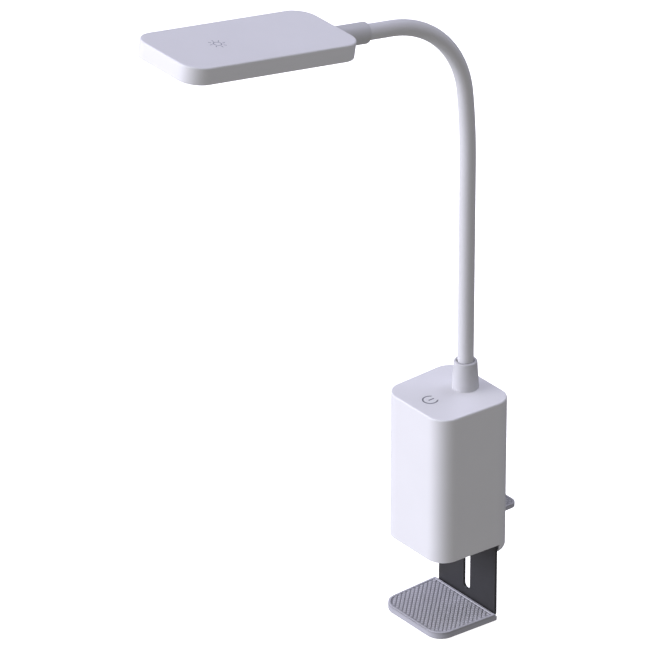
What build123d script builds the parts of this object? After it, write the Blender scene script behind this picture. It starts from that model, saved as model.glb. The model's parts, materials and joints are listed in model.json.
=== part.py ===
"""Clamp-on gooseneck reading lamp, in millimetres, +Z up.

The origin is the centre of the housing's underside, where it sits on a desk.
The lamp head and the clamp jaw reach towards -Y, and the thumb tab is at +Y.
"""
import os
from math import cos, radians, sin

from build123d import *

os.makedirs("parts", exist_ok=True)

# ---- Housing ----
housing_front_width = 67.0
housing_rear_width = 73.0
housing_depth = 68.5
housing_height = 120.0
housing_corner = 15.0
housing_edge = 1.2
wall = 2.2
top_wall = 2.5
lip_drop = 8.0
lip_round = 5.5
lip_gap = 0.5
boss_radius = 4.0
boss_top = 16.0
front_boss_inset = 5.2
front_boss_setback = 5.6
rear_boss_inset = 3.2
rear_boss_setback = 8.0
cover_thickness = 3.0
cover_clearance = 0.15
pad_thickness = 1.5
pad_inset = 5.0

# ---- Fasteners ----
screw_radius = 1.5
screw_head_radius = 2.7
screw_head_height = 1.6
screw_length = 9.0
screw_drive_width = 0.6
screw_drive_depth = 0.6
screw_hole_spare = 1.0
hole_clearance = 0.1

# ---- Clamp ----
jaw_gap = 59.0
jaw_length = 54.6
jaw_inset = 0.3
jaw_corner = 13.0
jaw_thickness = 5.8
jaw_pad_thickness = 1.8
jaw_screw_height = 1.2
jaw_round = 1.0
jaw_pad_round = 0.6
jaw_pad_gap = 1.2
jaw_recess_clearance = 0.2
jaw_screw_inset = 7.0
jaw_screw_margin = 8.0
plate_width = 65.4
plate_thickness = 2.0
plate_setback = 14.75
plate_margin = 6.0
plate_bend = 3.5
flange_width = 46.0
flange_length = 44.0
flange_shoulder = 4.0
slot_width = 7.5
slot_foot = 5.5
closed_gap = 1.0
slide_clearance = 0.15
pin_flange = 1.5
foot_clearance = 0.55
pin_head = 1.2
bush_clearance = 0.05
guide_headroom = 4.5
guide_thickness = 2.2
guide_screw_bite = 2.4
spacer_wall = 1.6
post_margin = 4.5
rib_thickness = 3.0
window_width = 25.0
brake_width = 16.0
brake_height = 12.0
brake_z = 27.0
brake_spacing = 34.0
spring_thickness = 0.4
spring_margin = 1.0
spring_corner = 2.0

# ---- Thumb tab ----
tab_width = 44.0
tab_reach = 15.5
tab_thickness = 3.4
tab_pad_thickness = 0.6
tab_corner = 6.5
tab_gap = 0.35
tab_slot_margin = 2.0
tab_slot_clearance = 0.6
tab_screw_inset = 4.0
tab_screw_drop = 6.0
arm_width = 14.0
arm_height = 6.0
foot_width = 20.0
foot_height = 20.0
foot_thickness = 1.8

# ---- Battery and electronics ----
cell_radius = 9.2
cell_length = 65.0
cell_setback = 18.0
cell_spacing = 21.0
cell_z = 9.0
cell_cap = 1.0
holder_wall = 2.0
holder_clearance = 0.2
board_width = 58.0
board_height = 62.0
board_thickness = 1.6
board_setback = 12.15
board_z = 17.0
board_hole_spacing = 36.0
board_hole_margin = 4.0
board_screw_bite = 2.0
chip_height = 1.2
chip_size = 9.0
chip_x = 8.0
chip_rise = 42.0
small_chip_width = 5.0
small_chip_height = 4.0
small_chip_pitch = 10.0
small_chip_rise = 18.0
usb_length = 7.4
usb_height = 9.0
usb_thickness = 3.2
usb_shell = 0.4
usb_back = 1.0
usb_blade = 0.7
usb_blade_margin = 1.2
usb_flat = 0.05
usb_z = 50.0
usb_setback = 0.4
sensor_radius = 10.0
sensor_thickness = 1.8
symbol_setback = 17.25
symbol_radius = 6.0
symbol_stroke = 1.1
symbol_depth = 0.4
symbol_gap = 70.0
symbol_bar = 5.0
symbol_bar_shift = 1.0

# ---- Gooseneck ----
neck_setback = 18.1
neck_radius = 6.0
core_radius = 4.1
lead_bore = 1.4
sleeve_clearance = 0.1
neck_rise = 183.2
lower_bend = 540.0
lower_turn = 6.2
upper_bend = 82.0
neck_end = 23.9
head_tilt = 9.3
neck_joints = 10
first_joint = 30.0
last_joint = 12.0
socket_gap = 0.5
socket_end_gap = 1.0
core_below_nut = 2.0
collar_base_wall = 4.1
collar_rim_wall = 2.7
collar_rim_round = 1.2
collar_bore_round = 0.5
collar_height = 22.0
collar_clearance = 0.6
nut_radius = 9.0
nut_height = 5.0

# ---- Lamp head ----
head_width = 71.2
head_length = 153.4
head_thickness = 12.9
head_corner = 16.0
head_edge = 1.2
head_foot_edge = 0.6
head_drop = 9.8
head_wall = 1.8
head_collar_wall = 2.0
head_collar_length = 29.7
head_collar_round = 1.0
head_collar_step = 0.5
head_socket_depth = 20.0
bezel_thickness = 1.8
bezel_width = 8.0
diffuser_thickness = 1.0
diffuser_recess = 0.3
led_board_thickness = 1.2
led_board_margin = 7.0
led_board_end_margin = 17.0
led_board_drop = 4.7
led_size = 2.8
led_height = 0.8
led_pitch = 12.0
led_margin = 5.0
pillar_end_margin = 26.2
pillar_inset = 6.0
pillar_radius = 2.6
pillar_screw_radius = 1.0
pillar_head_rim = 1.0
pillar_head_height = 1.0
pillar_screw_bite = 2.8
head_ledge = 1.0
tongue_width = 7.0
tongue_length = 14.0
tongue_thickness = 2.8
tongue_clearance = 0.1
tongue_screw_bite = 1.2
tongue_root = 1.0

# ---- Places that follow from the sizes above ----
half_depth = housing_depth / 2
rear_y = half_depth
plate_y = rear_y - plate_setback
neck_y = rear_y - neck_setback
symbol_y = symbol_setback - half_depth
plate_back = plate_y + plate_thickness
guide_y = plate_y - slide_clearance
rail_y = plate_back + slide_clearance
lip_y = plate_back + lip_gap
jaw_z = -jaw_gap
travel = jaw_gap - closed_gap
slot_low_z = jaw_z + slot_foot + slot_width / 2
slot_high_z = slot_low_z + travel
pin_height = slot_high_z
bush_radius = slot_width / 2 - bush_clearance
foot_low = pin_height + bush_radius + pin_flange + foot_clearance
tab_top = foot_low + arm_height
plate_top = foot_low + foot_height + plate_margin
jaw_bottom = jaw_z - jaw_thickness
pad_bottom = jaw_z - jaw_pad_thickness
flange_z = pad_bottom - plate_thickness
head_turn = 90.0 - head_tilt
lower_arc = lower_bend * radians(lower_turn)
upper_arc = upper_bend * radians(head_turn - lower_turn)
neck_length = neck_rise + lower_arc + upper_arc + neck_end
joint_pitch = (neck_length - last_joint - first_joint) / (neck_joints - 1)
ceiling = housing_height - top_wall
guide_top = ceiling - nut_height - guide_headroom
head_collar_radius = neck_radius + head_collar_wall
guide_front_face = guide_y - guide_thickness
cover_back = guide_front_face - cover_clearance
board_y = guide_front_face - board_setback
cell_y = board_y - cell_setback
post_x = plate_width / 2 - post_margin
post_z = guide_top - post_margin


def save(shape, name):
    """Label a finished piece and write it."""
    shape.label = name
    export_step(shape, f"parts/{name}.step")


def side(y):
    """Half the housing's width at the depth y."""
    share = (y + half_depth) / housing_depth
    return (housing_front_width + (housing_rear_width - housing_front_width) * share) / 2


def housing_plan(inset=0.0, front=-half_depth, back=half_depth):
    """The housing's rounded plan, moved inwards and cut off at front and back."""
    with BuildSketch() as plan:
        with BuildLine():
            Polyline(
                (-side(-half_depth), -half_depth),
                (side(-half_depth), -half_depth),
                (side(half_depth), half_depth),
                (-side(half_depth), half_depth),
                close=True,
            )
        make_face()
        fillet(plan.vertices(), housing_corner)
        if inset > 0:
            offset(amount=-inset)
        with Locations((0, (front + back) / 2)):
            Rectangle(2 * housing_rear_width, back - front, mode=Mode.INTERSECT)
    return plan.sketch


def lifted(sketch, z):
    """A plan moved up to the height z."""
    return Pos(0, 0, z) * sketch


def symbol_plan():
    """The power symbol: a broken ring with a bar in its gap."""
    with BuildSketch() as plan:
        with Locations((0, symbol_y)):
            Circle(symbol_radius)
            Circle(symbol_radius - symbol_stroke, mode=Mode.SUBTRACT)
        gap_half = symbol_radius * sin(radians(symbol_gap / 2))
        with Locations((0, symbol_y + symbol_radius)):
            Rectangle(2 * gap_half, symbol_radius, mode=Mode.SUBTRACT)
        with Locations((0, symbol_y + symbol_bar_shift)):
            Rectangle(symbol_stroke, symbol_bar)
    return plan.sketch


# ======================= Housing =======================
boss_places = [
    (x * sign, y)
    for x, y in (
        (side(-half_depth) - wall - front_boss_inset, -half_depth + wall + front_boss_setback),
        (side(cover_back - rear_boss_setback) - wall - rear_boss_inset, cover_back - rear_boss_setback),
    )
    for sign in (-1, 1)
]
usb_y = board_y + board_thickness + usb_thickness / 2
usb_mouth = side(usb_y) - usb_setback

with BuildPart() as housing_shell:
    extrude(housing_plan(), amount=housing_height)
    fillet(housing_shell.edges().group_by(Axis.Z)[-1], housing_edge)
    extrude(lifted(housing_plan(front=lip_y), -lip_drop), amount=lip_drop)
    lip_outline = housing_shell.edges().group_by(Axis.Z)[0].sort_by(Axis.Y)[1:]
    fillet(lip_outline, min(lip_round, lip_drop - lip_gap))
    extrude(
        lifted(housing_plan(wall), 0),
        amount=ceiling,
        mode=Mode.SUBTRACT,
    )
    extrude(
        lifted(housing_plan(wall, front=lip_y - 1), -lip_drop + wall),
        amount=lip_drop,
        mode=Mode.SUBTRACT,
    )
    with BuildSketch(Plane.XY.offset(cover_thickness)):
        with Locations(*boss_places):
            Circle(boss_radius)
    extrude(amount=boss_top - cover_thickness)
    with Locations(*[(x, y, cover_thickness) for x, y in boss_places]):
        Cylinder(
            screw_radius,
            screw_length - cover_thickness + screw_hole_spare,
            align=(Align.CENTER, Align.CENTER, Align.MIN),
            mode=Mode.SUBTRACT,
        )
    for sign in (-1, 1):
        with Locations((sign * (post_x - rib_thickness / 2), guide_front_face, cover_thickness)):
            Box(
                side(guide_front_face - rib_thickness) - wall / 2 - post_x + rib_thickness / 2,
                rib_thickness,
                ceiling - cover_thickness,
                align=(Align.MIN if sign > 0 else Align.MAX, Align.MAX, Align.MIN),
            )
    with BuildSketch(Plane.XZ.offset(-guide_front_face)):
        with Locations((post_x, post_z), (-post_x, post_z)):
            Circle(screw_radius)
    extrude(amount=guide_screw_bite, mode=Mode.SUBTRACT)
    with Locations((0, neck_y, ceiling)):
        Cylinder(
            core_radius + hole_clearance,
            top_wall,
            align=(Align.CENTER, Align.CENTER, Align.MIN),
            mode=Mode.SUBTRACT,
        )
    extrude(lifted(symbol_plan(), housing_height - symbol_depth), amount=symbol_depth, mode=Mode.SUBTRACT)
    slot_low = tab_top - arm_height - tab_slot_margin
    slot_high = tab_top + travel + tab_slot_margin
    with Locations((0, rear_y - wall / 2, (slot_low + slot_high) / 2)):
        Box(arm_width + 2 * tab_slot_clearance, 2 * wall, slot_high - slot_low, mode=Mode.SUBTRACT)
    with Locations((-usb_mouth + wall / 2, usb_y, usb_z)):
        Box(
            4 * wall,
            usb_thickness + 2 * hole_clearance,
            usb_height + 2 * hole_clearance,
            mode=Mode.SUBTRACT,
        )
save(housing_shell.part, "housing_shell")

with BuildPart() as bottom_cover:
    extrude(housing_plan(wall + cover_clearance, back=cover_back), amount=cover_thickness)
    extrude(
        housing_plan(wall + pad_inset, back=cover_back - pad_inset),
        amount=pad_thickness,
        mode=Mode.SUBTRACT,
    )
    with Locations(*[(x, y, 0) for x, y in boss_places]):
        Cylinder(
            screw_radius + hole_clearance,
            cover_thickness,
            align=(Align.CENTER, Align.CENTER, Align.MIN),
            mode=Mode.SUBTRACT,
        )
        Cylinder(
            screw_head_radius + hole_clearance,
            screw_head_height,
            align=(Align.CENTER, Align.CENTER, Align.MIN),
            mode=Mode.SUBTRACT,
        )
save(bottom_cover.part, "bottom_cover")

with BuildPart() as desk_pad:
    extrude(
        housing_plan(wall + pad_inset + cover_clearance, back=cover_back - pad_inset - cover_clearance),
        amount=pad_thickness,
    )
    with Locations(*[(x, y, 0) for x, y in boss_places]):
        Cylinder(
            screw_head_radius + 2 * hole_clearance,
            pad_thickness,
            align=(Align.CENTER, Align.CENTER, Align.MIN),
            mode=Mode.SUBTRACT,
        )
save(desk_pad.part, "desk_pad")


def screws(places, length, radius=screw_radius, head=screw_head_radius, height=screw_head_height):
    """Pan-head screws; each place is the plane of a head's outer face, pointing along the shank."""
    with BuildPart() as group:
        with Locations(*places):
            Cylinder(head, height, align=(Align.CENTER, Align.CENTER, Align.MIN))
            Cylinder(radius, length, align=(Align.CENTER, Align.CENTER, Align.MIN))
        with Locations(*places):
            Box(head, screw_drive_width, 2 * screw_drive_depth, mode=Mode.SUBTRACT)
    return group.part


cover_screws = screws([Location((x, y, 0)) for x, y in boss_places], screw_length)
save(cover_screws, "cover_screws")

# The sheet that bears on the front of the steel plate
with BuildPart() as guide_front:
    with BuildSketch(Plane.XZ.offset(-guide_y)):
        with Locations((0, guide_top / 2)):
            Rectangle(plate_width, guide_top)
        with Locations((0, pin_height), (post_x, post_z), (-post_x, post_z)):
            Circle(screw_radius + hole_clearance / 2, mode=Mode.SUBTRACT)
        with Locations((-brake_spacing / 2, brake_z), (brake_spacing / 2, brake_z)):
            Rectangle(brake_width, brake_height, mode=Mode.SUBTRACT)
    extrude(amount=guide_thickness)
save(guide_front.part, "guide_front")

with BuildPart() as brake_pads:
    with BuildSketch(Plane.XZ.offset(-plate_y)):
        with Locations((-brake_spacing / 2, brake_z), (brake_spacing / 2, brake_z)):
            Rectangle(brake_width - 2 * hole_clearance, brake_height - 2 * hole_clearance)
    extrude(amount=guide_thickness + slide_clearance)
save(brake_pads.part, "brake_pads")

# The leaf spring that presses both brake pads onto the plate
brake_back = plate_y - guide_thickness - slide_clearance
with BuildPart() as brake_spring:
    with BuildSketch(Plane.XZ.offset(-brake_back)):
        with Locations((0, brake_z)):
            RectangleRounded(brake_spacing + brake_width, brake_height - 2 * spring_margin, spring_corner)
    extrude(amount=spring_thickness)
save(brake_spring.part, "brake_spring")

# Two rails that bear on the back of the steel plate, beside the thumb tab's arm
rail_foot = wall - lip_drop
rail_width = (plate_width - window_width) / 2
rail_x = (plate_width + window_width) / 4
with BuildPart() as guide_rails:
    with BuildSketch(Plane.XZ.offset(-rail_y)):
        with Locations((rail_x, rail_foot), (-rail_x, rail_foot)):
            Rectangle(rail_width, guide_top - rail_foot, align=(Align.CENTER, Align.MIN))
        with Locations((post_x, post_z), (-post_x, post_z)):
            Circle(screw_radius + hole_clearance / 2, mode=Mode.SUBTRACT)
    extrude(amount=-guide_thickness)
    extrude(
        lifted(housing_plan(wall + cover_clearance), rail_foot),
        amount=guide_top - rail_foot,
        mode=Mode.INTERSECT,
    )
save(guide_rails.part, "guide_rails")

rail_back = rail_y + guide_thickness
guide_places = [
    Location(Plane((x, rail_back + screw_head_height, post_z), z_dir=(0, -1, 0))) for x in (-post_x, post_x)
]
guide_screws = screws(guide_places, rail_back + screw_head_height - guide_front_face + guide_screw_bite)
save(guide_screws, "guide_screws")

with BuildPart() as guide_spacers:
    with BuildSketch(Plane.XZ.offset(-guide_y)):
        with Locations((post_x, post_z), (-post_x, post_z)):
            Circle(screw_radius + spacer_wall)
            Circle(screw_radius + hole_clearance / 2, mode=Mode.SUBTRACT)
    extrude(amount=-(rail_y - guide_y))
save(guide_spacers.part, "guide_spacers")

# The pin and its bush, which ride in the plate's slot and stop it at both ends
with BuildPart() as guide_pin:
    with BuildSketch(Plane.XZ.offset(-(guide_y - guide_thickness))):
        with Locations((0, pin_height)):
            Circle(screw_radius)
    extrude(amount=-(rail_y - guide_y + guide_thickness))
    with BuildSketch(Plane.XZ.offset(-rail_y)):
        with Locations((0, pin_height)):
            Circle(bush_radius + pin_flange)
    extrude(amount=-foot_thickness)
    with BuildSketch(Plane.XZ.offset(-guide_front_face)):
        with Locations((0, pin_height)):
            Circle(2 * screw_radius)
    extrude(amount=pin_head)
save(guide_pin.part, "guide_pin")

with BuildPart() as guide_bush:
    with BuildSketch(Plane.XZ.offset(-guide_y)):
        with Locations((0, pin_height)):
            Circle(bush_radius)
            Circle(screw_radius + hole_clearance / 2, mode=Mode.SUBTRACT)
    extrude(amount=-(rail_y - guide_y))
save(guide_bush.part, "guide_bush")

# ======================= Battery and electronics =======================
cell_places = [(-cell_spacing / 2, cell_y), (cell_spacing / 2, cell_y)]
with BuildPart() as battery_cells:
    with BuildSketch(Plane.XY.offset(cell_z)):
        with Locations(*cell_places):
            Circle(cell_radius)
    extrude(amount=cell_length)
    with BuildSketch(Plane.XY.offset(cell_z + cell_length)):
        with Locations(*cell_places):
            Circle(cell_radius / 3)
    extrude(amount=cell_cap)
save(battery_cells.part, "battery_cells")

hole_low = board_z + board_hole_margin
hole_high = board_z + board_height - board_hole_margin
board_holes = [(x * board_hole_spacing / 2, z) for x in (-1, 1) for z in (hole_low, hole_high)]
holder_depth = board_y - cell_y
with BuildPart() as battery_holder:
    with Locations((0, cell_y + holder_depth / 2, cover_thickness)):
        Box(
            cell_spacing + 2 * cell_radius + 2 * holder_wall,
            holder_depth,
            cell_length + 2 * (cell_z - cover_thickness),
            align=(Align.CENTER, Align.CENTER, Align.MIN),
        )
    with Locations(*[(x, y, cell_z) for x, y in cell_places]):
        Cylinder(
            cell_radius + holder_clearance,
            cell_length + cell_cap + holder_clearance,
            align=(Align.CENTER, Align.CENTER, Align.MIN),
            mode=Mode.SUBTRACT,
        )
    with BuildSketch(Plane.XZ.offset(-board_y)):
        with Locations(*board_holes):
            Circle(screw_radius)
    extrude(amount=board_screw_bite, mode=Mode.SUBTRACT)
save(battery_holder.part, "battery_holder")

# The control board stands upright behind the battery
with BuildPart() as control_board:
    with BuildSketch(Plane.XZ.offset(-board_y)):
        with Locations((0, board_z + board_height / 2)):
            Rectangle(board_width, board_height)
        with Locations(*board_holes):
            Circle(screw_radius + hole_clearance, mode=Mode.SUBTRACT)
    extrude(amount=-board_thickness)
save(control_board.part, "control_board")

chip_face = board_y + board_thickness
with BuildPart() as board_chips:
    with BuildSketch(Plane.XZ.offset(-chip_face)):
        with Locations((chip_x, board_z + chip_rise)):
            Rectangle(chip_size, chip_size)
        with Locations(*[(k * small_chip_pitch, board_z + small_chip_rise) for k in (-1, 0, 1)]):
            Rectangle(small_chip_width, small_chip_height)
    extrude(amount=-chip_height)
save(board_chips.part, "board_chips")

with BuildPart() as usb_socket:
    with BuildSketch(Plane.YZ.offset(-usb_mouth)):
        with Locations((usb_y, usb_z)):
            RectangleRounded(usb_thickness, usb_height, usb_thickness / 2 - usb_flat)
    extrude(amount=usb_length)
    with BuildSketch(Plane.YZ.offset(-usb_mouth)):
        with Locations((usb_y, usb_z)):
            RectangleRounded(
                usb_thickness - 2 * usb_shell,
                usb_height - 2 * usb_shell,
                usb_thickness / 2 - usb_shell - usb_flat,
            )
            Rectangle(usb_blade, usb_height - 2 * usb_blade_margin, mode=Mode.SUBTRACT)
    extrude(amount=usb_length - usb_back, mode=Mode.SUBTRACT)
save(usb_socket.part, "usb_socket")

board_screw_face = board_y + board_thickness + screw_head_height
board_screws = screws(
    [Location(Plane((x, board_screw_face, z), z_dir=(0, -1, 0))) for x, z in board_holes],
    screw_head_height + board_thickness + board_screw_bite,
)
save(board_screws, "board_screws")

with BuildPart() as touch_sensor:
    with Locations((0, symbol_y, ceiling - sensor_thickness)):
        Cylinder(sensor_radius, sensor_thickness, align=(Align.CENTER, Align.CENTER, Align.MIN))
save(touch_sensor.part, "touch_sensor")

with BuildPart() as power_symbol:
    extrude(lifted(symbol_plan(), housing_height - symbol_depth), amount=symbol_depth)
save(power_symbol.part, "power_symbol")

# ======================= Clamp =======================
jaw_front = plate_y - jaw_length


def jaw_half(y):
    """Half the jaw's width at the depth y, just inside the housing's side."""
    return side(y) - jaw_inset


def jaw_plan(back):
    """The jaw's plan, rounded at the front and square at the back."""
    with BuildSketch() as plan:
        with BuildLine():
            Polyline(
                (-jaw_half(jaw_front), jaw_front),
                (jaw_half(jaw_front), jaw_front),
                (jaw_half(back), back),
                (-jaw_half(back), back),
                close=True,
            )
        make_face()
        fillet(plan.vertices().sort_by(Axis.Y)[:2], jaw_corner)
    return plan.sketch


# One bent sheet: the upright with its slot, and the flange inside the jaw
flange_front = plate_y - flange_length
flange_back = plate_back - plate_bend - flange_shoulder
jaw_screw_x = flange_width / 2 - jaw_screw_inset
jaw_screw_rows = (flange_front + jaw_screw_margin, flange_back - jaw_screw_margin)
jaw_screw_places = [(x, y) for x in (-jaw_screw_x, jaw_screw_x) for y in jaw_screw_rows]
tab_screw_x = foot_width / 2 - tab_screw_inset
tab_screw_z = foot_low + foot_height - tab_screw_drop
tab_screw_places = [(-tab_screw_x, tab_screw_z), (tab_screw_x, tab_screw_z)]
with BuildPart() as clamp_plate:
    with BuildSketch(Plane.YZ) as profile:
        with BuildLine():
            FilletPolyline(
                (flange_front, flange_z),
                (plate_back, flange_z),
                (plate_back, plate_top),
                radius=plate_bend,
            )
            Line((plate_back, plate_top), (plate_y, plate_top))
            FilletPolyline(
                (plate_y, plate_top),
                (plate_y, pad_bottom),
                (flange_front, pad_bottom),
                radius=plate_bend - plate_thickness,
            )
            Line((flange_front, pad_bottom), (flange_front, flange_z))
        make_face()
    extrude(amount=plate_width / 2, both=True)
    with BuildSketch(Plane.XY.offset(flange_z)):
        with Locations((0, (flange_front + flange_back) / 2)):
            Rectangle(2 * housing_rear_width, flange_back - flange_front)
            Rectangle(flange_width, flange_back - flange_front, mode=Mode.SUBTRACT)
    extrude(amount=plate_thickness, mode=Mode.SUBTRACT)
    with BuildSketch(Plane.XZ.offset(-plate_back)):
        with Locations((0, (slot_low_z + slot_high_z) / 2)):
            SlotOverall(travel + slot_width, slot_width, rotation=90)
    extrude(amount=plate_thickness, mode=Mode.SUBTRACT)
    with Locations(*[(x, y, flange_z) for x, y in jaw_screw_places]):
        Cylinder(screw_radius, 3 * plate_thickness, mode=Mode.SUBTRACT)
    with BuildSketch(Plane.XZ.offset(-plate_back)):
        with Locations(*tab_screw_places):
            Circle(screw_radius)
    extrude(amount=plate_thickness, mode=Mode.SUBTRACT)
save(clamp_plate.part, "clamp_plate")

with BuildPart() as jaw_base:
    extrude(lifted(jaw_plan(plate_y), jaw_bottom), amount=pad_bottom - jaw_bottom)
    lower_edges = jaw_base.faces().sort_by(Axis.Z)[0].edges().sort_by(Axis.Y)[:-1]
    fillet(lower_edges, jaw_round)
    with BuildSketch(Plane.XY.offset(flange_z - hole_clearance)):
        with Locations((0, (flange_front + plate_y) / 2)):
            Rectangle(
                flange_width + 2 * jaw_recess_clearance,
                plate_y - flange_front + 2 * jaw_recess_clearance,
            )
        with Locations((0, (flange_back + plate_y) / 2)):
            Rectangle(
                plate_width + 2 * jaw_recess_clearance,
                plate_y - flange_back + 2 * jaw_recess_clearance,
            )
    extrude(amount=2 * plate_thickness, mode=Mode.SUBTRACT)
    with Locations(*[(x, y, jaw_bottom) for x, y in jaw_screw_places]):
        Cylinder(screw_radius + hole_clearance, 3 * jaw_thickness, mode=Mode.SUBTRACT)
        Cylinder(screw_head_radius + hole_clearance, 2 * jaw_screw_height, mode=Mode.SUBTRACT)
save(jaw_base.part, "jaw_base")

with BuildPart() as jaw_pad:
    extrude(lifted(jaw_plan(plate_y - jaw_pad_gap), pad_bottom), amount=jaw_pad_thickness)
    fillet(jaw_pad.faces().sort_by(Axis.Z)[-1].edges().sort_by(Axis.Y)[:-1], jaw_pad_round)
    back_edge = jaw_pad.faces().sort_by(Axis.Z)[0].edges().sort_by(Axis.Y)[-1]
    back_chamfer = plate_bend - plate_thickness + hole_clearance
    chamfer(back_edge, min(back_chamfer, jaw_pad_thickness - hole_clearance))
save(jaw_pad.part, "jaw_pad")

jaw_screws = screws(
    [Location((x, y, jaw_bottom)) for x, y in jaw_screw_places],
    pad_bottom - jaw_bottom,
    height=jaw_screw_height,
)
save(jaw_screws, "jaw_screws")

# The thumb tab: a foot on the plate, an arm through the housing's back, and the blade
blade_top = tab_top - tab_pad_thickness
blade_y = rear_y + tab_gap


def blade_plan():
    """The tab's plan, square against the housing and rounded at the back."""
    with BuildSketch() as plan:
        with Locations((0, blade_y + tab_reach / 2)):
            Rectangle(tab_width, tab_reach)
        fillet(plan.vertices().sort_by(Axis.Y)[-2:], tab_corner)
    return plan.sketch


with BuildPart() as thumb_tab:
    with BuildSketch(Plane.XZ.offset(-plate_back)):
        with Locations((0, foot_low + foot_height / 2)):
            Rectangle(foot_width, foot_height)
        with Locations(*tab_screw_places):
            Circle(screw_radius + hole_clearance, mode=Mode.SUBTRACT)
    extrude(amount=-foot_thickness)
    with BuildSketch(Plane.XZ.offset(-plate_back - foot_thickness)):
        with Locations((0, (foot_low + blade_top) / 2)):
            Rectangle(arm_width, blade_top - foot_low)
    extrude(amount=-(blade_y - plate_back - foot_thickness + tab_reach / 2))
    extrude(lifted(blade_plan(), blade_top), amount=tab_pad_thickness - tab_thickness)
save(thumb_tab.part, "thumb_tab")

with BuildPart() as tab_pad:
    extrude(lifted(blade_plan(), blade_top), amount=tab_pad_thickness)
    fillet(tab_pad.faces().sort_by(Axis.Z)[-1].edges().sort_by(Axis.Y)[1:], tab_pad_thickness / 2)
save(tab_pad.part, "tab_pad")

tab_screw_face = plate_back + foot_thickness + screw_head_height
tab_screws = screws(
    [Location(Plane((x, tab_screw_face, z), z_dir=(0, -1, 0))) for x, z in tab_screw_places],
    screw_head_height + foot_thickness + plate_thickness,
)
save(tab_screws, "tab_screws")

# ======================= Gooseneck =======================
neck_runs = [(neck_rise, 0.0), (lower_arc, lower_bend), (upper_arc, upper_bend)]
bend_start = neck_rise
bend_middle = neck_rise + lower_arc
bend_end = neck_rise + lower_arc + upper_arc


def station(s):
    """The point (y, z) and direction (y, z) of the neck's axis, s above the housing's top.

    Each run is a (length, radius), and a radius of 0 is straight.
    """
    y, z, turn = neck_y, housing_height, 0.0
    for length, radius in neck_runs:
        step = min(s, length)
        s -= step
        if radius == 0:
            z += step
            continue
        y -= radius * (cos(turn) - cos(turn + step / radius))
        z += radius * (sin(turn + step / radius) - sin(turn))
        turn += step / radius
    return (y - s * sin(turn), z + s * cos(turn)), (-sin(turn), cos(turn))


def neck_point(s):
    """The point of the neck's axis at s, in space."""
    return (0, *station(s)[0])


def neck_bar(start, end, radius):
    """A round bar along the neck's axis from start to end."""
    cuts = [start, *[s for s in (bend_start, bend_middle, bend_end) if start < s < end], end]
    (start_y, start_z), (along_y, along_z) = station(start)
    with BuildPart() as bar:
        with BuildLine(Plane.YZ) as route:
            for a, b in zip(cuts, cuts[1:]):
                if bend_start <= a and b <= bend_end:
                    ThreePointArc(station(a)[0], station((a + b) / 2)[0], station(b)[0])
                else:
                    Line(station(a)[0], station(b)[0])
        across = Plane(origin=(0, start_y, start_z), x_dir=(1, 0, 0), z_dir=(0, along_y, along_z))
        with BuildSketch(across):
            Circle(radius)
        sweep(path=route.wires()[0])
    return bar.part


# Eleven lengths of neck: each ends in a ball that sits in the next one's cup
joint_stations = [first_joint + i * joint_pitch for i in range(neck_joints)]
neck_tip = neck_length + head_socket_depth - socket_end_gap
core_foot = -top_wall - nut_height - core_below_nut
for number in range(neck_joints + 1):
    is_first = number == 0
    is_last = number == neck_joints
    start = 0.0 if is_first else joint_stations[number - 1]
    end = neck_tip if is_last else joint_stations[number]
    core_start = core_foot if is_first else start
    reach = end if is_last else end + neck_radius + socket_gap
    outside = neck_bar(start, end, neck_radius)
    bore = neck_bar(core_start, reach, core_radius + sleeve_clearance)
    with BuildPart() as neck_sleeve:
        add(outside)
        if not is_last:
            with Locations(neck_point(end)):
                Sphere(neck_radius)
        add(bore, mode=Mode.SUBTRACT)
        if not is_first:
            with Locations(neck_point(start)):
                Sphere(neck_radius + socket_gap, mode=Mode.SUBTRACT)
    save(neck_sleeve.part, f"neck_sleeve_{number:02d}")

    envelope = neck_bar(core_start, end, neck_radius)
    rod = neck_bar(core_start, reach, core_radius)
    lead_hole = neck_bar(core_start, reach, lead_bore)
    with BuildPart() as neck_core:
        add(envelope)
        if not is_last:
            with Locations(neck_point(end)):
                Sphere(neck_radius)
        add(rod, mode=Mode.INTERSECT)
        add(lead_hole, mode=Mode.SUBTRACT)
        if not is_first:
            with Locations(neck_point(start)):
                Sphere(neck_radius + socket_gap, mode=Mode.SUBTRACT)
    save(neck_core.part, f"neck_core_{number:02d}")

with BuildPart() as base_collar:
    with BuildSketch(Plane.XZ.offset(-neck_y)):
        with BuildLine():
            Polyline(
                (neck_radius + collar_clearance, housing_height),
                (neck_radius + collar_base_wall, housing_height),
                (neck_radius + collar_rim_wall, housing_height + collar_height),
                (neck_radius + collar_clearance, housing_height + collar_height),
                close=True,
            )
        make_face()
    revolve(axis=Axis((0, neck_y, 0), (0, 0, 1)))
    rim_edges = base_collar.edges().group_by(Axis.Z)[-1].sort_by(SortBy.RADIUS)
    fillet(rim_edges[0], collar_bore_round)
    fillet(rim_edges[-1], collar_rim_round)
save(base_collar.part, "base_collar")

with BuildPart() as neck_nut:
    with BuildSketch(Plane.XY.offset(ceiling)):
        with Locations((0, neck_y)):
            RegularPolygon(nut_radius, 6)
            Circle(core_radius + hole_clearance, mode=Mode.SUBTRACT)
    extrude(amount=-nut_height)
save(neck_nut.part, "neck_nut")

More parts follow.
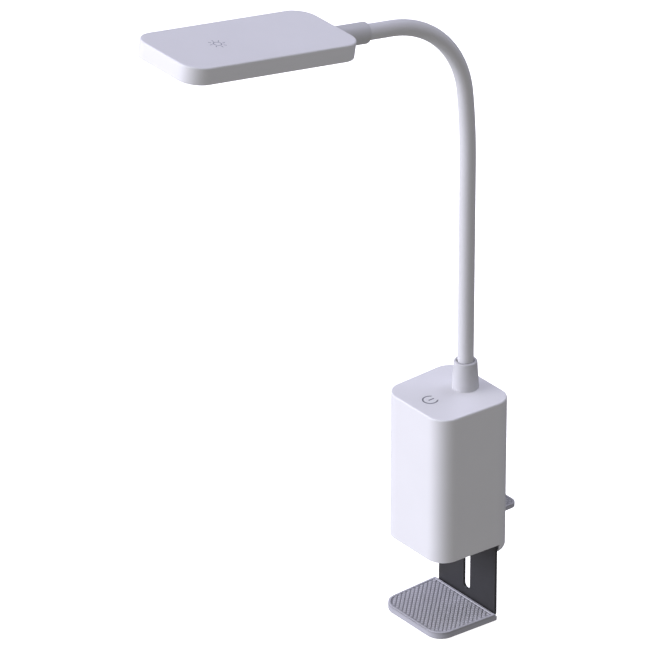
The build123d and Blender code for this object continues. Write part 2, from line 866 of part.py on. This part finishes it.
# ======================= Lamp head =======================
(head_y, head_z), (axis_y, axis_z) = station(neck_length + head_collar_length)
HEAD = Plane(origin=(0, head_y, head_z), x_dir=(1, 0, 0), z_dir=(0, axis_z, -axis_y))
head_bottom = head_drop - head_thickness
head_middle = -head_length / 2
head_ceiling = head_drop - head_wall
led_board_z = head_ceiling - led_board_drop
bezel_top = head_bottom + bezel_thickness
diffuser_top = bezel_top + diffuser_thickness
tongue_rise = head_ceiling - tongue_clearance - tongue_thickness
pillar_x = head_width / 2 - head_wall - pillar_inset
pillar_rows = (-pillar_end_margin, pillar_end_margin - head_length)
pillar_places = [(x, y) for x in (-pillar_x, pillar_x) for y in pillar_rows]
tongue_screw_places = [-0.4 * tongue_length, -0.75 * tongue_length]


def head_plan(inset, height=0.0):
    """The head's rounded plan, moved inwards by inset, at a height above the neck's axis."""
    with BuildSketch() as plan:
        with Locations((0, head_middle)):
            RectangleRounded(head_width - 2 * inset, head_length - 2 * inset, head_corner - inset)
    return HEAD * Pos(0, 0, height) * plan.sketch


def head_place(x, y, z, down=False):
    """A place in the head's own frame; down turns it over."""
    return HEAD.location * Location((x, y, z), (180 if down else 0, 0, 0))


with BuildPart() as head_cover:
    extrude(head_plan(0, head_bottom), amount=head_thickness)
    fillet(head_cover.faces().filter_by(HEAD).sort_by(Axis.Z)[-1].edges(), head_edge)
    fillet(head_cover.faces().filter_by(HEAD).sort_by(Axis.Z)[0].edges(), head_foot_edge)
    extrude(head_plan(head_wall, head_bottom), amount=diffuser_top - head_bottom, mode=Mode.SUBTRACT)
    extrude(
        head_plan(head_wall + head_ledge, diffuser_top),
        amount=head_ceiling - diffuser_top,
        mode=Mode.SUBTRACT,
    )
    pillar_foot = led_board_z + led_board_thickness
    with Locations(*[head_place(x, y, pillar_foot) for x, y in pillar_places]):
        Cylinder(
            pillar_radius,
            head_ceiling - pillar_foot,
            align=(Align.CENTER, Align.CENTER, Align.MIN),
        )
        Cylinder(
            pillar_screw_radius,
            pillar_screw_bite,
            align=(Align.CENTER, Align.CENTER, Align.MIN),
            mode=Mode.SUBTRACT,
        )
    with Locations(head_place(0, 0, tongue_rise - hole_clearance)):
        Box(
            tongue_width + 2 * hole_clearance,
            2 * (head_wall + head_ledge),
            tongue_thickness + tongue_clearance + hole_clearance,
            align=(Align.CENTER, Align.CENTER, Align.MIN),
            mode=Mode.SUBTRACT,
        )
    with Locations(*[head_place(0, y, head_ceiling) for y in tongue_screw_places]):
        Cylinder(pillar_screw_radius, 2 * tongue_screw_bite, mode=Mode.SUBTRACT)
save(head_cover.part, "head_cover")

with BuildPart() as head_bezel:
    extrude(head_plan(head_wall + cover_clearance, head_bottom), amount=bezel_thickness)
    extrude(head_plan(bezel_width, head_bottom), amount=bezel_thickness, mode=Mode.SUBTRACT)
save(head_bezel.part, "head_bezel")

with BuildPart() as diffuser:
    extrude(head_plan(head_wall + 2 * cover_clearance, bezel_top), amount=diffuser_thickness)
    extrude(
        head_plan(bezel_width + cover_clearance, head_bottom + diffuser_recess),
        amount=bezel_thickness - diffuser_recess,
    )
save(diffuser.part, "diffuser")

with BuildPart() as led_board:
    with BuildSketch(HEAD.offset(led_board_z)):
        with Locations((0, head_middle)):
            Rectangle(head_width - 2 * led_board_margin, head_length - 2 * led_board_end_margin)
    extrude(amount=led_board_thickness)
    with Locations(*[head_place(x, y, led_board_z) for x, y in pillar_places]):
        Cylinder(pillar_radius, led_board_thickness, align=(Align.CENTER, Align.CENTER, Align.MIN))
        Cylinder(pillar_screw_radius + hole_clearance, 4 * led_board_thickness, mode=Mode.SUBTRACT)
save(led_board.part, "led_board")

led_columns = int((head_width - 2 * (led_board_margin + led_margin)) // led_pitch) + 1
led_rows = int((head_length - 2 * (led_board_end_margin + led_margin)) // led_pitch) + 1
with BuildPart() as leds:
    with BuildSketch(HEAD.offset(led_board_z)):
        with Locations((0, head_middle)):
            with GridLocations(led_pitch, led_pitch, led_columns, led_rows):
                Rectangle(led_size, led_size)
    extrude(amount=-led_height)
save(leds.part, "leds")

pillar_screws = screws(
    [head_place(x, y, led_board_z - pillar_head_height) for x, y in pillar_places],
    pillar_head_height + led_board_thickness + pillar_screw_bite,
    radius=pillar_screw_radius,
    head=pillar_screw_radius + pillar_head_rim,
    height=pillar_head_height,
)
save(pillar_screws, "head_screws")

# The socket at the head's back that holds the neck, with a tongue screwed inside the head
head_back = Plane(origin=HEAD.origin, x_dir=(1, 0, 0), z_dir=-HEAD.y_dir)
with BuildPart() as head_collar:
    with BuildSketch(head_back):
        Circle(head_collar_radius)
    extrude(amount=-head_collar_length)
    fillet(head_collar.edges().sort_by(Axis.Y)[-1], head_collar_round)
    with BuildSketch(head_back):
        Circle(neck_radius + hole_clearance)
    extrude(amount=-head_collar_length, mode=Mode.SUBTRACT)
    with BuildSketch(head_back):
        Circle(head_collar_radius - head_collar_step)
    extrude(amount=head_socket_depth - head_collar_length)
    with Locations(head_place(0, tongue_root, tongue_rise)):
        Box(
            tongue_width,
            tongue_length + tongue_root,
            tongue_thickness,
            align=(Align.CENTER, Align.MAX, Align.MIN),
        )
    with Locations(*[head_place(0, y, tongue_rise) for y in tongue_screw_places]):
        Cylinder(pillar_screw_radius + hole_clearance, 3 * tongue_thickness, mode=Mode.SUBTRACT)
save(head_collar.part, "head_collar")

collar_screws = screws(
    [head_place(0, y, tongue_rise - pillar_head_height) for y in tongue_screw_places],
    pillar_head_height + tongue_thickness + tongue_clearance + tongue_screw_bite,
    radius=pillar_screw_radius,
    head=pillar_screw_radius + pillar_head_rim,
    height=pillar_head_height,
)
save(collar_screws, "collar_screws")
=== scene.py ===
"""Looks of the clamp-on gooseneck reading lamp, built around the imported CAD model, in metres."""

import json
from math import cos, pi, radians, sin

import bmesh
import bpy
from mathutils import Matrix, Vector


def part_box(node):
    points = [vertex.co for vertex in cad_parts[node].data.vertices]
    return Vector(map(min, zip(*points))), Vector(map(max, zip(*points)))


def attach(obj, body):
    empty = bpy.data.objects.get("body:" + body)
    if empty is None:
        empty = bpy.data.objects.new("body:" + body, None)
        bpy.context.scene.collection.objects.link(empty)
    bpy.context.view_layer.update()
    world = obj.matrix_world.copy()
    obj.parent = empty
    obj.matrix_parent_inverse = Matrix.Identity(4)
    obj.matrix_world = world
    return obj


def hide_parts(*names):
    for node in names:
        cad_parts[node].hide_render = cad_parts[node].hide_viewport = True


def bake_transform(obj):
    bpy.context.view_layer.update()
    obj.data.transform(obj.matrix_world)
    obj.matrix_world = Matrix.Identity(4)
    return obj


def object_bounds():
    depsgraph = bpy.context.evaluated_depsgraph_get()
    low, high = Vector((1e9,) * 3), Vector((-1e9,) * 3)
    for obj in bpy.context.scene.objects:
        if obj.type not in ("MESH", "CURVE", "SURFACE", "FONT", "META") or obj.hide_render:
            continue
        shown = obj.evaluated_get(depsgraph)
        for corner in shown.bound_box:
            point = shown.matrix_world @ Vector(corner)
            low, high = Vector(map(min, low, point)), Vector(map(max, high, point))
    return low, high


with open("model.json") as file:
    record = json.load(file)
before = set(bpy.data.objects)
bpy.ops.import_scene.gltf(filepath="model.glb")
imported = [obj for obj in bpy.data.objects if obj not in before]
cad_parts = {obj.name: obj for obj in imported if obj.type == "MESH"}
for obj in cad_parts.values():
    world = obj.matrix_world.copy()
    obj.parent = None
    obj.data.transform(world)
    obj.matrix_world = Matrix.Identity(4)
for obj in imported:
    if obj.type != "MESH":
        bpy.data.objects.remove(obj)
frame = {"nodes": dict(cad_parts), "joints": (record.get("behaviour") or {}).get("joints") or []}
cad_box = [list(corner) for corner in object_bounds()]
MM = 0.001

# ---- Sizes shared with the CAD model ----
NECK_RADIUS = 6.0 * MM
NECK_BORE = 4.6 * MM
NECK_RISE = 183.2 * MM
LOWER_BEND = 540.0 * MM
LOWER_TURN = radians(6.2)
UPPER_BEND = 82.0 * MM
NECK_END = 23.9 * MM
NECK_SOCKET = 19.0 * MM
FIRST_JOINT = 30.0 * MM
LAST_JOINT = 12.0 * MM
HEAD_TILT = radians(9.3)
HEAD_COLLAR = 29.7 * MM
HEAD_DROP = 9.8 * MM
HOUSING_FLARE = 3.0 / 68.5
JAW_CORNER = 13.0 * MM
JAW_CHAMFER = 1.6 * MM
TAB_CORNER = 6.5 * MM

# ---- Sizes of the looks alone ----
RING_STEP = 1.5 * MM
RING_SIDES = 48
STUD_PITCH = 2.95 * MM
STUD_FOOT = 2.2 * MM
STUD_CREST = 1.5 * MM
# Painted shade in the pads' grooves: the share of their colour left at the grooves' floor.
GROOVE_PAINTED_SHADE = 0.7
RIM_WIDTH = 1.8 * MM
MARK_RADIUS = 3.3 * MM
MARK_STROKE = 0.65 * MM
MARK_RAY = 2.2 * MM
MARK_GAP = 1.1 * MM
MARK_RAYS = 8
MARK_ALONG = -104.4 * MM
MARK_ACROSS = 0.0 * MM
INK = 0.02 * MM
JAW_GROOVE = 0.5 * MM
JAW_EDGE = 0.6 * MM
TAB_GROOVE = 0.35 * MM
TAB_EDGE = 0.3 * MM

# ---- Camera and light ----
CAMERA_TARGET = (-0.00025, -0.11465, 0.21515)
CAMERA_AZIMUTH = 51.65
CAMERA_ELEVATION = 28.63
CAMERA_DISTANCE = 5.01
CAMERA_LENS = 387.7
SKY_TOWARDS = (0.5, -0.87, 0.0)
SKY_DARK = 0.10
SKY_BRIGHT = 0.40
SKY_COLOUR = (1.0, 0.985, 1.0, 1.0)
# name, azimuth, elevation, distance, size, watts, colour
SOFTBOXES = [
    ("front", -20, 15, 7.2, 5.2, 404.0, (0.84, 0.85, 1.0)),
    ("left", -45, 15, 7.2, 4.4, 216.0, (0.92, 0.90, 1.0)),
    ("overhead", 180, 60, 2.8, 1.8, 31.0, (0.79, 0.80, 1.0)),
    ("high_left", -90, 55, 2.8, 1.8, 12.0, (0.70, 0.68, 1.0)),
]

low = Vector(cad_box[0])
collar_low, collar_high = (Vector(corner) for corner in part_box("base_collar"))
neck_y = (collar_low.y + collar_high.y) / 2
housing_top = collar_low.z
lower_arc = LOWER_BEND * LOWER_TURN
upper_arc = UPPER_BEND * (pi / 2 - HEAD_TILT - LOWER_TURN)
neck_length = NECK_RISE + lower_arc + upper_arc + NECK_END


# ======================= Camera, light and floor =======================
def look_at(thing, target):
    """Turns a camera or lamp so that its -Z axis points at the target."""
    direction = Vector(target) - thing.location
    thing.rotation_euler = direction.to_track_quat("-Z", "Y").to_euler()


def make_camera():
    azimuth, elevation = radians(CAMERA_AZIMUTH), radians(CAMERA_ELEVATION)
    target = Vector(CAMERA_TARGET)
    data = bpy.data.cameras.new("camera")
    data.sensor_width = 36.0
    data.lens = CAMERA_LENS
    data.clip_end = 50.0
    camera = bpy.data.objects.new("camera", data)
    bpy.context.scene.collection.objects.link(camera)
    back = Vector((sin(azimuth) * cos(elevation), -cos(azimuth) * cos(elevation), sin(elevation)))
    camera.location = target + CAMERA_DISTANCE * back
    look_at(camera, target)
    bpy.context.scene.camera = camera


def area_light(name, azimuth, elevation, distance, size, watts, colour):
    """A round softbox that faces the lamp; azimuth 0 is in front, at -Y, and 90 is at +X."""
    data = bpy.data.lights.new(name, "AREA")
    data.shape = "DISK"
    data.size = size
    data.energy = watts
    data.color = colour
    lamp = bpy.data.objects.new(name, data)
    bpy.context.scene.collection.objects.link(lamp)
    turn, rise = radians(azimuth), radians(elevation)
    middle = Vector((0, -0.1, 0.2))
    lamp.location = middle + distance * Vector((sin(turn) * cos(rise), -cos(turn) * cos(rise), sin(rise)))
    look_at(lamp, middle)


def make_light():
    world = bpy.data.worlds.new("studio")
    bpy.context.scene.world = world
    world.use_nodes = True
    tree = world.node_tree
    place = tree.nodes.new("ShaderNodeTexCoord")
    towards = tree.nodes.new("ShaderNodeVectorMath")
    towards.operation = "DOT_PRODUCT"
    towards.inputs[1].default_value = SKY_TOWARDS
    tree.links.new(place.outputs["Generated"], towards.inputs[0])
    fade = tree.nodes.new("ShaderNodeMapRange")
    reach = {"From Min": -1.0, "From Max": 1.0, "To Min": SKY_DARK, "To Max": SKY_BRIGHT}
    for socket, value in reach.items():
        fade.inputs[socket].default_value = value
    tree.links.new(towards.outputs["Value"], fade.inputs["Value"])
    background = tree.nodes["Background"]
    background.inputs["Color"].default_value = SKY_COLOUR
    tree.links.new(fade.outputs["Result"], background.inputs["Strength"])
    for softbox in SOFTBOXES:
        area_light(*softbox)
    bpy.context.scene.view_settings.view_transform = "Standard"


def make_floor():
    bpy.ops.mesh.primitive_plane_add(size=40, location=(0, 0, low.z - 0.5 * MM))
    floor = bpy.context.object
    floor.name = "floor"
    paper = bpy.data.materials.new("floor_paper")
    paper.use_nodes = True
    shader = paper.node_tree.nodes["Principled BSDF"]
    shader.inputs["Base Color"].default_value = (0.95, 0.95, 0.95, 1.0)
    shader.inputs["Roughness"].default_value = 0.9
    shader.inputs["Emission Color"].default_value = (1.0, 1.0, 1.0, 1.0)
    shader.inputs["Emission Strength"].default_value = 1.0
    floor.data.materials.append(paper)
    floor.visible_diffuse = False
    floor.visible_glossy = False


# ======================= Materials =======================
def surface(
    name,
    colour,
    roughness,
    grain=0.35 * MM,
    bump=0.04,
    mottle=0.02,
    patch=30 * MM,
    stretch=(1.0, 1.0, 1.0),
    **sockets,
):
    """A finished surface: a fine grain in bump and gloss, and slow changes of colour.

    grain and patch are the sizes of the fine and slow patterns, mottle is the share by which
    the colour varies, and stretch squeezes the grain along an axis, as brushing does.
    """
    material = bpy.data.materials.new(name)
    material.use_nodes = True
    tree = material.node_tree
    shader = tree.nodes["Principled BSDF"]
    place = tree.nodes.new("ShaderNodeTexCoord")
    squeeze = tree.nodes.new("ShaderNodeMapping")
    squeeze.inputs["Scale"].default_value = stretch
    tree.links.new(place.outputs["Object"], squeeze.inputs["Vector"])

    def noise(source, size, detail):
        node = tree.nodes.new("ShaderNodeTexNoise")
        node.inputs["Scale"].default_value = 1.0 / size
        node.inputs["Detail"].default_value = detail
        tree.links.new(source, node.inputs["Vector"])
        return node.outputs["Fac"]

    slow = noise(place.outputs["Object"], patch, 3.0)
    fine = noise(squeeze.outputs["Vector"], grain, 2.0)

    shade = tree.nodes.new("ShaderNodeMix")
    shade.data_type = "RGBA"
    shade.inputs["A"].default_value = (*[c * (1 - mottle) for c in colour], 1.0)
    shade.inputs["B"].default_value = (*[min(c * (1 + mottle), 1.0) for c in colour], 1.0)
    tree.links.new(slow, shade.inputs["Factor"])
    tree.links.new(shade.outputs["Result"], shader.inputs["Base Color"])

    gloss = tree.nodes.new("ShaderNodeMapRange")
    gloss.inputs["To Min"].default_value = roughness * 0.85
    gloss.inputs["To Max"].default_value = min(roughness * 1.15, 1.0)
    tree.links.new(fine, gloss.inputs["Value"])
    tree.links.new(gloss.outputs["Result"], shader.inputs["Roughness"])

    relief = tree.nodes.new("ShaderNodeBump")
    relief.inputs["Strength"].default_value = bump
    relief.inputs["Distance"].default_value = grain
    tree.links.new(fine, relief.inputs["Height"])
    tree.links.new(relief.outputs["Normal"], shader.inputs["Normal"])
    for socket, value in sockets.items():
        shader.inputs[socket.replace("_", " ")].default_value = value
    return material


def paint_groove_shade(material, floor, crest):
    """Paints shade into a knurled pad's grooves: darkens its colour from the studs' crests down to the
    pad's floor, and below that floor on the pad's sides too.
    """
    tree = material.node_tree
    shader = tree.nodes["Principled BSDF"]
    place = tree.nodes.new("ShaderNodeTexCoord")
    split = tree.nodes.new("ShaderNodeSeparateXYZ")
    tree.links.new(place.outputs["Object"], split.inputs["Vector"])
    depth = tree.nodes.new("ShaderNodeMapRange")
    reach = {"From Min": floor, "From Max": crest, "To Min": GROOVE_PAINTED_SHADE, "To Max": 1.0}
    for socket, value in reach.items():
        depth.inputs[socket].default_value = value
    tree.links.new(split.outputs["Z"], depth.inputs["Value"])
    darker = tree.nodes.new("ShaderNodeVectorMath")
    darker.operation = "SCALE"
    tree.links.new(shader.inputs["Base Color"].links[0].from_socket, darker.inputs[0])
    tree.links.new(depth.outputs["Result"], darker.inputs["Scale"])
    tree.links.new(darker.outputs["Vector"], shader.inputs["Base Color"])


def paint(material, *nodes):
    """Gives CAD nodes their material."""
    for node in nodes:
        thing = frame["nodes"][node]
        thing.data.materials.clear()
        thing.data.materials.append(material)


def make_materials():
    steel = dict(grain=0.15 * MM, bump=0.03, Metallic=1.0)
    return {
        "shell": surface("shell_plastic", (0.82, 0.82, 0.83), 0.5, bump=0.05),
        # The collars are painted darker than the shell, at about three quarters of its brightness.
        "collar": surface("collar_plastic", (0.61, 0.61, 0.62), 0.5, bump=0.05),
        "silicone": surface("neck_silicone", (0.72, 0.72, 0.73), 0.62, grain=0.5 * MM, Sheen_Weight=0.05),
        "jaw": surface("jaw_plastic", (0.50, 0.50, 0.545), 0.5),
        "pad": surface("pad_rubber", (0.65, 0.65, 0.695), 0.75, grain=0.25 * MM, mottle=0.04),
        "tab": surface("tab_rubber", (0.43, 0.43, 0.44), 0.75, grain=0.25 * MM, mottle=0.04),
        "black": surface("plate_paint", (0.036, 0.036, 0.038), 0.38, grain=0.5 * MM, bump=0.08),
        "symbol": surface("symbol_ink", (0.15, 0.15, 0.175), 0.5, mottle=0.05),
        "mark": surface("mark_ink", (0.24, 0.24, 0.29), 0.5, mottle=0.05),
        "cover": surface("cover_plastic", (0.62, 0.62, 0.64), 0.6, bump=0.08),
        "foot": surface("foot_rubber", (0.10, 0.10, 0.11), 0.85, grain=0.6 * MM, bump=0.15),
        "steel": surface("bright_steel", (0.62, 0.62, 0.64), 0.28, stretch=(1, 1, 0.1), **steel),
        "core": surface("core_steel", (0.35, 0.35, 0.37), 0.4, stretch=(0.1, 0.1, 1), **steel),
        "nylon": surface("nylon", (0.70, 0.69, 0.64), 0.55, mottle=0.04),
        "wrap": surface("cell_wrap", (0.06, 0.22, 0.50), 0.3, Coat_Weight=0.3),
        "board": surface("board_lacquer", (0.02, 0.20, 0.09), 0.3, mottle=0.12, patch=4 * MM),
        "chip": surface("chip_resin", (0.02, 0.02, 0.022), 0.55),
        "copper": surface("sensor_copper", (0.80, 0.42, 0.25), 0.3, **steel),
        "led_board": surface("led_board_lacquer", (0.85, 0.85, 0.84), 0.35, mottle=0.04),
        "phosphor": surface("led_phosphor", (0.85, 0.68, 0.16), 0.4, mottle=0.06, patch=2 * MM),
        "opal": surface("diffuser_opal", (0.88, 0.88, 0.86), 0.45, Subsurface_Weight=0.25),
    }


def paint_nodes(looks):
    """Every CAD node that stays gets the look of what it is made of."""
    paint(looks["shell"], "housing_shell", "head_cover", "head_bezel")
    paint(looks["collar"], "base_collar", "head_collar")
    paint(looks["jaw"], "jaw_base", "thumb_tab")
    paint(looks["black"], "clamp_plate")
    paint(looks["symbol"], "power_symbol")
    paint(looks["cover"], "bottom_cover")
    paint(looks["foot"], "desk_pad", "brake_pads")
    paint(looks["nylon"], "battery_holder", "guide_bush")
    paint(looks["wrap"], "battery_cells")
    paint(looks["board"], "control_board")
    paint(looks["chip"], "board_chips")
    paint(looks["copper"], "touch_sensor")
    paint(looks["led_board"], "led_board")
    paint(looks["phosphor"], "leds")
    paint(looks["opal"], "diffuser")
    paint(looks["steel"], "guide_front", "guide_rails", "guide_pin", "guide_spacers", "brake_spring")
    paint(looks["steel"], "neck_nut", "usb_socket")
    paint(looks["steel"], *[node for node in frame["nodes"] if node.endswith("screws")])
    paint(looks["core"], *[node for node in frame["nodes"] if node.startswith("neck_core")])


# ======================= Mesh helpers =======================
def new_object(name, mesh_builder, material, smooth_angle=None):
    """A mesh object from a bmesh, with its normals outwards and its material."""
    bmesh.ops.recalc_face_normals(mesh_builder, faces=mesh_builder.faces)
    mesh = bpy.data.meshes.new(name)
    mesh_builder.to_mesh(mesh)
    mesh_builder.free()
    thing = bpy.data.objects.new(name, mesh)
    bpy.context.scene.collection.objects.link(thing)
    mesh.materials.append(material)
    if smooth_angle is not None:
        mesh.shade_smooth()
        mesh.set_sharp_from_angle(angle=radians(smooth_angle))
    return thing


def loft(builder, loops, capped=True):
    """Skins a row of closed loops of points, and caps both ends."""
    rings = [[builder.verts.new(point) for point in loop] for loop in loops]
    for lower, upper in zip(rings, rings[1:]):
        for i in range(len(lower)):
            j = (i + 1) % len(lower)
            builder.faces.new((lower[i], lower[j], upper[j], upper[i]))
    if capped:
        builder.faces.new(rings[0])
        builder.faces.new(rings[-1])


def apply_boolean(thing, other, operation):
    """Joins or cuts with another object's solid, and removes the other object."""
    change = thing.modifiers.new(operation.lower(), "BOOLEAN")
    change.operation = operation
    change.object = other
    change.solver = "EXACT"
    bpy.context.view_layer.update()
    shaped = thing.evaluated_get(bpy.context.evaluated_depsgraph_get())
    mesh = bpy.data.meshes.new_from_object(shaped)
    thing.modifiers.clear()
    thing.data = mesh
    bpy.data.objects.remove(other)


# ======================= Gooseneck =======================
def neck_station(s):
    """The point of the neck's axis at s above the housing's top, and its direction there."""
    point, turn = Vector((0, neck_y, housing_top + min(s, NECK_RISE))), 0.0
    left = max(s - NECK_RISE, 0.0)
    for length, radius in ((lower_arc, LOWER_BEND), (upper_arc, UPPER_BEND)):
        step = min(left, length)
        end_turn = turn + step / radius
        point.y -= radius * (cos(turn) - cos(end_turn))
        point.z += radius * (sin(end_turn) - sin(turn))
        turn = end_turn
        left -= step
    along = Vector((0, -sin(turn), cos(turn)))
    return point + left * along, along


def ring_at(s, radius):
    """A ring of points round the neck's axis at s."""
    centre, along = neck_station(s)
    across = along.cross(Vector((1, 0, 0)))
    turns = [2 * pi * k / RING_SIDES for k in range(RING_SIDES)]
    return [centre + radius * (cos(turn) * Vector((1, 0, 0)) + sin(turn) * across) for turn in turns]


def sleeve_piece(name, start, end, material):
    """A length of the neck's silicone tube, open inside."""
    steps = max(round((end - start) / RING_STEP), 1)
    stations = [start + (end - start) * k / steps for k in range(steps + 1)]
    outside = [ring_at(s, NECK_RADIUS) for s in stations]
    inside = [ring_at(s, NECK_BORE) for s in reversed(stations)]
    builder = bmesh.new()
    loft(builder, outside + inside + outside[:1], capped=False)
    bmesh.ops.remove_doubles(builder, verts=builder.verts, dist=0.01 * MM)
    return new_object(name, builder, material, smooth_angle=40)


def make_neck(looks):
    """One tube in as many lengths as there are joints, each spanning its own joint."""
    joints = sorted(
        (joint for joint in frame["joints"] if joint["name"].startswith("neck")),
        key=lambda joint: joint["name"].split("_")[-1],
    )
    pitch = (neck_length - LAST_JOINT - FIRST_JOINT) / (len(joints) - 1)
    places = [FIRST_JOINT + k * pitch for k in range(len(joints))]
    cuts = [0.0] + [(a + b) / 2 for a, b in zip(places, places[1:])] + [neck_length + NECK_SOCKET]
    sleeves = sorted(node for node in frame["nodes"] if node.startswith("neck_sleeve"))
    for k, (joint, place) in enumerate(zip(joints, places)):
        piece = sleeve_piece(f"neck_skin_{k + 1:02d}", cuts[k], cuts[k + 1], looks["silicone"])
        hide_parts(sleeves[k])
        if k == len(joints) - 1:
            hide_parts(sleeves[-1])
        point, along = neck_station(place)
        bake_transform(piece)


# ======================= Knurled pads =======================
def rounded_outline(corners, inset, height, arc_steps=10):
    """A convex outline with rounded corners, moved inwards by inset, at a height.

    corners are (x, y, radius) in anticlockwise order.
    """
    points = [Vector((x, y)) for x, y, _ in corners]
    count = len(points)
    outline = []
    for k, (x, y, radius) in enumerate(corners):
        here = points[k]
        back = (here - points[k - 1]).normalized()
        ahead = (points[(k + 1) % count] - here).normalized()
        inwards_back = Vector((-back.y, back.x))
        inwards_ahead = Vector((-ahead.y, ahead.x))
        spread = 1 + inwards_back.dot(inwards_ahead)
        bisector = (inwards_back + inwards_ahead) / spread
        if radius <= inset:
            outline.append(here + inset * bisector)
            continue
        centre = here + radius * bisector
        sweep = inwards_back.angle_signed(inwards_ahead)
        for step in range(arc_steps + 1):
            turn = -sweep * step / arc_steps
            arm = -inwards_back
            arm = Vector((arm.x * cos(turn) - arm.y * sin(turn), arm.x * sin(turn) + arm.y * cos(turn)))
            outline.append(centre + (radius - inset) * arm)
    return [(point.x, point.y, height) for point in outline]


def inside_outline(x, y, outline):
    """Whether a point is inside a convex outline in anticlockwise order."""
    pairs = zip(outline, outline[1:] + outline[:1])
    return all((b[0] - a[0]) * (y - a[1]) > (b[1] - a[1]) * (x - a[0]) for a, b in pairs)


def stud_field(outline, foot, crest):
    """Four-sided studs in rows at 45 degrees, inside an outline."""
    builder = bmesh.new()
    xs = [point[0] for point in outline]
    ys = [point[1] for point in outline]
    middle_y = (min(ys) + max(ys)) / 2
    reach = round((max(xs) - min(xs) + max(ys) - min(ys)) / STUD_PITCH / 2) + 1
    slant = (STUD_FOOT - STUD_CREST) / 2
    for i in range(-reach, reach + 1):
        for j in range(-reach, reach + 1):
            x = (i - j) * STUD_PITCH / 2**0.5
            y = middle_y + (i + j) * STUD_PITCH / 2**0.5
            if not inside_outline(x, y, outline):
                continue
            loops = []
            below = foot - 0.5 * (crest - foot)
            for half, z in ((STUD_FOOT / 2, below), (STUD_FOOT / 2, foot), (STUD_FOOT / 2 - slant, crest)):
                point_out = half * 2**0.5
                turns = [(point_out, 0), (0, point_out), (-point_out, 0), (0, -point_out)]
                loops.append([(x + across, y + along, z) for across, along in turns])
            loft(builder, loops)
    return builder


def knurled_pad(name, corners, bottom, top, depth, edge, material, chamfer=0.0):
    """A rubber pad with a rounded rim and studs that stand on its sunken floor, with shade painted into
    its grooves.
    """
    loops = [rounded_outline(corners, 0, bottom)]
    if chamfer:
        back = max(point[1] for point in loops[0]) - chamfer
        loops = [[(x, min(y, back), z) for x, y, z in loops[0]]]
    loops.append(rounded_outline(corners, 0, bottom + chamfer))
    steps = 5
    for k in range(steps + 1):
        turn = pi / 2 * k / steps
        loops.append(rounded_outline(corners, edge * (1 - cos(turn)), top - edge * (1 - sin(turn))))
    loops.append(rounded_outline(corners, RIM_WIDTH, top))
    loops.append(rounded_outline(corners, RIM_WIDTH + 0.5 * depth, top - depth))
    builder = bmesh.new()
    loft(builder, loops)
    bmesh.ops.remove_doubles(builder, verts=builder.verts, dist=0.005 * MM)
    pad = new_object(name, builder, material)
    # Painted shade in the grooves between the studs, darkest at the floor and on the sides below it.
    paint_groove_shade(material, top - depth, top - 0.3 * depth)

    inner = RIM_WIDTH + 0.5 * depth + 0.15 * MM
    studs = stud_field(rounded_outline(corners, inner, 0), top - depth, top - 0.1 * depth)
    studs = new_object(name + "_studs", studs, material)
    keep = bmesh.new()
    loft(keep, [rounded_outline(corners, inner, z) for z in (bottom - 5 * MM, top + 5 * MM)])
    keep = new_object(name + "_keep", keep, material)
    apply_boolean(studs, keep, "INTERSECT")
    apply_boolean(pad, studs, "UNION")
    pad.data.shade_smooth()
    pad.data.set_sharp_from_angle(angle=radians(28))
    return pad


def make_pads(looks):
    """The jaw's pad and the thumb tab's pad."""
    pad_low, pad_high = (Vector(corner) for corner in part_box("jaw_pad"))
    half_back = pad_high.x
    half_front = half_back - HOUSING_FLARE * (pad_high.y - pad_low.y)
    corners = [
        (-half_front, pad_low.y, JAW_CORNER),
        (half_front, pad_low.y, JAW_CORNER),
        (half_back, pad_high.y, 0),
        (-half_back, pad_high.y, 0),
    ]
    pad = knurled_pad(
        "jaw_grip", corners, pad_low.z, pad_high.z, JAW_GROOVE, JAW_EDGE, looks["pad"], JAW_CHAMFER
    )
    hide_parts("jaw_pad")
    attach(pad, "clamp")

    tab_low, tab_high = (Vector(corner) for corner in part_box("tab_pad"))
    corners = [
        (tab_low.x, tab_low.y, 0),
        (tab_high.x, tab_low.y, 0),
        (tab_high.x, tab_high.y, TAB_CORNER),
        (tab_low.x, tab_high.y, TAB_CORNER),
    ]
    pad = knurled_pad(
        "tab_grip", corners, tab_low.z, tab_high.z, TAB_GROOVE, TAB_EDGE, looks["tab"]
    )
    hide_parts("tab_pad")
    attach(pad, "clamp")


# ======================= Mark on the head =======================
def make_mark(looks):
    """A small sun printed on the head: a ring with rays."""
    origin, along = neck_station(neck_length + HEAD_COLLAR)
    back = -along
    across = Vector((1, 0, 0))
    normal = across.cross(back)
    centre = origin + MARK_ALONG * back + MARK_ACROSS * across + HEAD_DROP * normal

    def on_head(x, y, height):
        return centre + x * across + y * back + height * normal

    builder = bmesh.new()
    turns = [2 * pi * k / RING_SIDES for k in range(RING_SIDES)]
    section = [
        (MARK_RADIUS, -INK),
        (MARK_RADIUS, INK),
        (MARK_RADIUS - MARK_STROKE, INK),
        (MARK_RADIUS - MARK_STROKE, -INK),
        (MARK_RADIUS, -INK),
    ]
    loft(builder, [[on_head(r * cos(t), r * sin(t), z) for t in turns] for r, z in section], capped=False)
    bmesh.ops.remove_doubles(builder, verts=builder.verts, dist=0.5 * INK)
    for k in range(MARK_RAYS):
        turn = 2 * pi * k / MARK_RAYS
        out, beside = (cos(turn), sin(turn)), (-sin(turn), cos(turn))
        near = MARK_RADIUS + MARK_GAP
        ray = [(near, -1), (near + MARK_RAY, -1), (near + MARK_RAY, 1), (near, 1)]
        flat = [
            (r * out[0] + s * MARK_STROKE / 2 * beside[0], r * out[1] + s * MARK_STROKE / 2 * beside[1])
            for r, s in ray
        ]
        loft(builder, [[on_head(x, y, z) for x, y in flat] for z in (-INK, INK)])
    mark = new_object("head_mark", builder, looks["mark"])
    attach(mark, "head")


make_camera()
make_light()
make_floor()
looks = make_materials()
paint_nodes(looks)
make_neck(looks)
make_pads(looks)
make_mark(looks)
